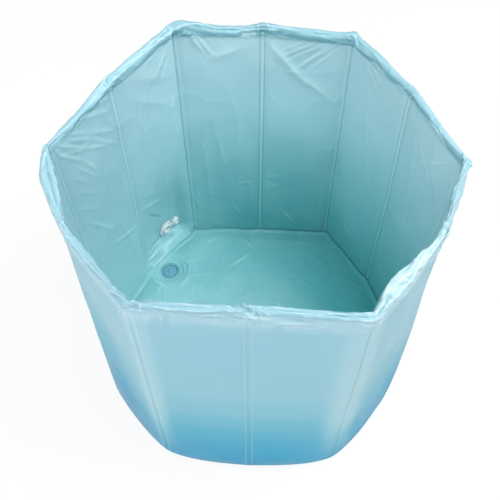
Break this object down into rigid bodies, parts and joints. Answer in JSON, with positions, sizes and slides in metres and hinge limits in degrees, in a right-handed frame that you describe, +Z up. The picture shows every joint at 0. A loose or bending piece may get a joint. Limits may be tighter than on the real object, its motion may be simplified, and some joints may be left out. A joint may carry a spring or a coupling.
{
  "type": "foldable ice bath tub",
  "caption": "Six-sided foldable ice bath with stiff panelled walls, a soft rolled rim, a padded floor, a floor drain with a lift-out plug and a capped wall outlet.",
  "frame": {"origin": "on the ground under the middle of the tub", "axes": "+Z up, +X to the right through a rim corner, +Y away from the pictured front"},
  "size_m": [0.7928, 0.7148, 0.65],
  "materials": {
    "outer_pvc": "satin",
    "inner_pvc": "satin",
    "stiff_board": "matte",
    "rim_pvc": "satin",
    "base_pvc": "satin",
    "foam_pad": "matte",
    "floor_pvc": "satin",
    "drain_plastic": "translucent gloss",
    "plug_plastic": "translucent gloss",
    "rubber_seal": "matte",
    "outlet_plastic": "translucent satin"
  },
  "bodies": {
    "tub_floor": {"panel_05_outer_skin": "outer_pvc", "panel_05_board": "stiff_board", "panel_05_inner_liner": "inner_pvc", "panel_05_rim_hem": "rim_pvc", "panel_06_outer_skin": "outer_pvc", "panel_06_board": "stiff_board", "panel_06_inner_liner": "inner_pvc", "panel_06_rim_hem": "rim_pvc", "base_sheet": "base_pvc", "floor_pad": "foam_pad", "floor_sheet": "floor_pvc", "drain_ring": "drain_plastic", "drain_washer": "rubber_seal", "outlet_body": "outlet_plastic", "outlet_gasket": "rubber_seal", "outlet_nut": "outlet_plastic", "outlet_tether": "outlet_plastic"},
    "wall_04": {"panel_04_outer_skin": "outer_pvc", "panel_04_board": "stiff_board", "panel_04_inner_liner": "inner_pvc", "panel_04_rim_hem": "rim_pvc"},
    "wall_03": {"panel_03_outer_skin": "outer_pvc", "panel_03_board": "stiff_board", "panel_03_inner_liner": "inner_pvc", "panel_03_rim_hem": "rim_pvc"},
    "wall_02": {"panel_02_outer_skin": "outer_pvc", "panel_02_board": "stiff_board", "panel_02_inner_liner": "inner_pvc", "panel_02_rim_hem": "rim_pvc"},
    "wall_01": {"panel_01_outer_skin": "outer_pvc", "panel_01_board": "stiff_board", "panel_01_inner_liner": "inner_pvc", "panel_01_rim_hem": "rim_pvc"},
    "wall_far": {"panel_12_outer_skin": "outer_pvc", "panel_12_board": "stiff_board", "panel_12_inner_liner": "inner_pvc", "panel_12_rim_hem": "rim_pvc", "panel_11_outer_skin": "outer_pvc", "panel_11_board": "stiff_board", "panel_11_inner_liner": "inner_pvc", "panel_11_rim_hem": "rim_pvc"},
    "wall_07": {"panel_07_outer_skin": "outer_pvc", "panel_07_board": "stiff_board", "panel_07_inner_liner": "inner_pvc", "panel_07_rim_hem": "rim_pvc"},
    "wall_08": {"panel_08_outer_skin": "outer_pvc", "panel_08_board": "stiff_board", "panel_08_inner_liner": "inner_pvc", "panel_08_rim_hem": "rim_pvc"},
    "wall_09": {"panel_09_outer_skin": "outer_pvc", "panel_09_board": "stiff_board", "panel_09_inner_liner": "inner_pvc", "panel_09_rim_hem": "rim_pvc"},
    "wall_10": {"panel_10_outer_skin": "outer_pvc", "panel_10_board": "stiff_board", "panel_10_inner_liner": "inner_pvc", "panel_10_rim_hem": "rim_pvc"},
    "plug": {"drain_plug": "plug_plastic"},
    "cap": {"outlet_cap": "outlet_plastic"}
  },
  "joints": [
    {"name": "wall_fold", "type": "hinge", "parent": "tub_floor", "child": "wall_04", "pos_m": [-0.19076, 0.33041, 0.0126], "axis": [0, 0, -1], "range_deg": [0, 94]},
    {"name": "seam_04_03", "type": "hinge", "parent": "wall_04", "child": "wall_03", "pos_m": [0, 0.36041, 0.0126], "axis": [0, 0, 1], "range_deg": [0, 148.52]},
    {"name": "seam_03_02", "type": "hinge", "parent": "wall_03", "child": "wall_02", "pos_m": [0.19076, 0.33041, 0.0126], "axis": [0, 0, -1], "range_deg": [0, 109.04]},
    {"name": "seam_02_01", "type": "hinge", "parent": "wall_02", "child": "wall_01", "pos_m": [0.31212, 0.18021, 0.0126], "axis": [0, 0, 1], "range_deg": [0, 148.52]},
    {"name": "seam_01_12", "type": "hinge", "parent": "wall_01", "child": "wall_far", "pos_m": [0.38153, 0, 0.0126], "axis": [0, 0, -1], "range_deg": [0, 94]},
    {"name": "seam_06_07", "type": "hinge", "parent": "tub_floor", "child": "wall_07", "pos_m": [-0.38153, 0, 0.0126], "axis": [0, 0, 1], "range_deg": [0, 94]},
    {"name": "seam_07_08", "type": "hinge", "parent": "wall_07", "child": "wall_08", "pos_m": [-0.31212, -0.18021, 0.0126], "axis": [0, 0, -1], "range_deg": [0, 148.52]},
    {"name": "seam_08_09", "type": "hinge", "parent": "wall_08", "child": "wall_09", "pos_m": [-0.19076, -0.33041, 0.0126], "axis": [0, 0, 1], "range_deg": [0, 109.04]},
    {"name": "seam_09_10", "type": "hinge", "parent": "wall_09", "child": "wall_10", "pos_m": [0, -0.36041, 0.0126], "axis": [0, 0, -1], "range_deg": [0, 148.52]},
    {"name": "plug_lift", "type": "slide", "parent": "tub_floor", "child": "plug", "axis": [0, 0, 1], "range_m": [0, 0.04]},
    {"name": "cap_close", "type": "hinge", "parent": "tub_floor", "child": "cap", "pos_m": [-0.22678, 0.2731, 0.06818], "axis": [-0.1071, -0.1579, -0.9816], "range_deg": [0, 180], "deforming": ["outlet_tether"]}
  ],
  "couplings": [
    {"joint": "seam_04_03", "follows": "wall_fold", "ratio": 1.58},
    {"joint": "seam_03_02", "follows": "wall_fold", "ratio": 1.16},
    {"joint": "seam_02_01", "follows": "wall_fold", "ratio": 1.58},
    {"joint": "seam_01_12", "follows": "wall_fold", "ratio": 1},
    {"joint": "seam_06_07", "follows": "wall_fold", "ratio": 1},
    {"joint": "seam_07_08", "follows": "wall_fold", "ratio": 1.58},
    {"joint": "seam_08_09", "follows": "wall_fold", "ratio": 1.16},
    {"joint": "seam_09_10", "follows": "wall_fold", "ratio": 1.58}
  ]
}
